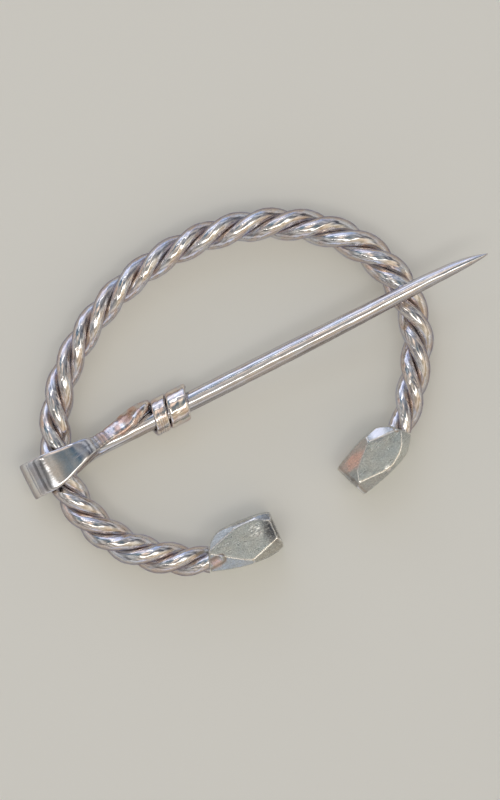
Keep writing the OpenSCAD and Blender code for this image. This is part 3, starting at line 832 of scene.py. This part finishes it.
pin = forgedPin(pinValues)
pin.data.materials.append(silverMetal("pinSilver", pinLook))
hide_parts("pin")
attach(pin, "pin")
print("pin forged")

# Floor and lights. Azimuths are seen in the picture: 0 is its right edge, 90 its top.
stageValues = {
    "floorSize": 3000.0, "floorRough": 0.9, "floorSheen": 0.2,
    "floorColor": (0.80, 0.78, 0.705, 1), "floorGlow": (0.100, 0.097, 0.085, 1),
    # sine of the height above the horizon, brightness of the room there
    "roomSteps": [(0.0, 0.48), (0.12, 0.44), (0.24, 0.52), (0.31, 0.62), (0.39, 0.60),
                  (0.44, 0.32), (0.60, 0.28), (0.64, 0.58), (0.73, 0.60), (0.76, 0.32),
                  (0.89, 0.34), (0.93, 0.40), (0.965, 0.32), (0.982, 0.28), (0.990, 0.18),
                  (1.0, 0.16)],
    # a strip of lights high up: sine of the height, brightness, and the azimuth it is round
    "stripSteps": [(0.0, 0.0), (0.86, 0.0), (0.895, 1.3), (0.920, 1.75), (0.950, 1.75),
                   (0.961, 0.0)],
    "stripAt": -72, "stripEnds": (0.03, 0.14),
    # azimuth, height angle, degrees to half brightness, color added to the room
    "glows": [
        (129, 20, 8, (0.66, 0.72, 0.86)),
        (143, 43, 9, (-0.42, -0.34, -0.29)),
        (-22, 60, 14, (0.42, 0.39, 0.34)),
        (108, 29, 12, (0.66, 0.66, 0.80)),
        (124, 8, 9, (-0.04, -0.06, 0.00)),
        (100, 28, 26, (-0.10, -0.02, 0.17)),
        (163, 8, 11, (0.14, 0.00, -0.04)),
        (126, 68, 7.5, (0.85, 0.65, 0.48)),
        (85, 10, 12, (-0.06, 0.00, 0.16)),
        (-80, 32, 26, (0.09, 0.02, -0.07)),
        (-98, 20, 13, (0.10, 0.24, 0.52)),
        (-60, 10, 9, (-0.20, -0.18, -0.12)),
        (-67, 24, 9, (0.08, 0.09, 0.12)),
        (-16, 18, 12, (0.26, 0.23, 0.17)),
        (210, 78, 8, (0.24, 0.18, 0.11)),
        (207, 45, 9, (-0.27, -0.27, -0.26)),
        (207, 19, 10, (-0.24, -0.24, -0.22)),
        (64, 76, 6, (-0.18, -0.17, -0.14)),
        (27, 44, 13, (-0.40, -0.39, -0.35)),
        (-35, 42, 18, (0.10, 0.03, -0.06)),
        (0, 90, 12, (-0.05, 0.01, 0.06)),
    ],
    "roomLeast": 0.05,
    "roomStrength": 1.0,
    # name, azimuth, height angle, distance, width, depth, power, color
    "lamps": [
        ("keyLamp", 110, 50, 420, 220, 36, 0.040, (1.0, 0.995, 0.99)),
        ("topLamp", -90, 69.5, 460, 300, 26, 0.030, (1.0, 0.95, 0.88)),
        ("backLamp", 190, 58, 420, 22, 130, 0.020, (1.0, 0.98, 0.96)),
    ],
}


def steppedGrey(tree, value, steps):
    # straight lines between the steps' levels of grey
    ramp = tree.nodes.new("ShaderNodeValToRGB")
    while len(ramp.color_ramp.elements) < len(steps):
        ramp.color_ramp.elements.new(0.5)
    for element, (at, bright) in zip(ramp.color_ramp.elements, steps):
        element.position = at
        element.color = (bright, bright, bright, 1)
    link(tree, value, ramp.inputs["Fac"])
    return ramp.outputs["Color"]


def wayTo(azimuth, rise):
    # (cos h cos a, cos h sin a, sin h) for azimuth a and height angle h, in radians
    return (math.cos(rise) * math.cos(azimuth), math.cos(rise) * math.sin(azimuth), math.sin(rise))


def gradeRoom(tree, v, turn):
    # The room is grey, in rings of window light and shade over the sine of the height, with
    # a strip of lights round one side, where the flat dot product passes its two ends. Each
    # glow adds its own color times the cosine of the angle from its middle, raised to the
    # power that halves it at its width. What is left is never under the room's least.
    coords = tree.nodes.new("ShaderNodeTexCoord")
    ray = coords.outputs["Generated"]
    parts = tree.nodes.new("ShaderNodeSeparateXYZ")
    link(tree, ray, parts.inputs["Vector"])
    height = parts.outputs["Z"]
    facing = vectorMath(tree, "DOT_PRODUCT", ray, wayTo(math.radians(v["stripAt"] + turn), 0))
    strip = vectorMath(tree, "SCALE", steppedGrey(tree, height, v["stripSteps"]),
                       spread(tree, facing, *v["stripEnds"], 0, 1))
    total = vectorMath(tree, "ADD", steppedGrey(tree, height, v["roomSteps"]), strip)
    for azimuth, rise, width, color in v["glows"]:
        way = wayTo(math.radians(azimuth + turn), math.radians(rise))
        near = combined(tree, "MAXIMUM", vectorMath(tree, "DOT_PRODUCT", ray, way), 0.0)
        power = math.log(0.5) / math.log(math.cos(math.radians(width)))
        share = combined(tree, "POWER", near, power)
        total = vectorMath(tree, "MULTIPLY_ADD", share, color, total)
    total = vectorMath(tree, "MAXIMUM", total, (v["roomLeast"],) * 3)
    sky = tree.nodes["Background"]
    link(tree, total, sky.inputs["Color"])
    sky.inputs["Strength"].default_value = v["roomStrength"]


def floorAndLamps(v, camera):
    # The floor is one flat square. Each lamp stands its distance away from the brooch, along
    # the way to its azimuth and height, and looks back at it.
    size = v["floorSize"] * mm
    mesh = bpy.data.meshes.new("floor")
    corners = [(-size, -size, 0), (size, -size, 0), (size, size, 0), (-size, size, 0)]
    mesh.from_pydata(corners, [], [(0, 1, 2, 3)])
    floor = bpy.data.objects.new("floor", mesh)
    bpy.context.scene.collection.objects.link(floor)
    material = bpy.data.materials.new("paleFloor")
    material.use_nodes = True
    shader = material.node_tree.nodes["Principled BSDF"]
    shader.inputs["Base Color"].default_value = v["floorColor"]
    shader.inputs["Emission Color"].default_value = v["floorGlow"]
    shader.inputs["Emission Strength"].default_value = 1.0
    shader.inputs["Roughness"].default_value = v["floorRough"]
    shader.inputs["Specular IOR Level"].default_value = v["floorSheen"]
    mesh.materials.append(material)
    world = bpy.data.worlds.new("softRoom")
    world.use_nodes = True
    gradeRoom(world.node_tree, v, camera["turn"])
    bpy.context.scene.world = world
    aim = np.array(camera["aim"])
    for name, azimuth, rise, distance, width, depth, power, color in v["lamps"]:
        a, h = math.radians(azimuth + camera["turn"]), math.radians(rise)
        light = bpy.data.lights.new(name, "AREA")
        light.shape = "RECTANGLE"
        light.size, light.size_y = width * mm, depth * mm
        light.energy, light.color = power, color
        obj = bpy.data.objects.new(name, light)
        obj.location = (aim + np.array(wayTo(a, h)) * distance) * mm
        obj.rotation_euler = (math.pi / 2 - h, 0, a + math.pi / 2)
        obj.visible_camera = False
        bpy.context.scene.collection.objects.link(obj)


floorAndLamps(stageValues, cameraValues)
bpy.context.scene.view_settings.view_transform = "Standard"
print("floor and lamps placed")
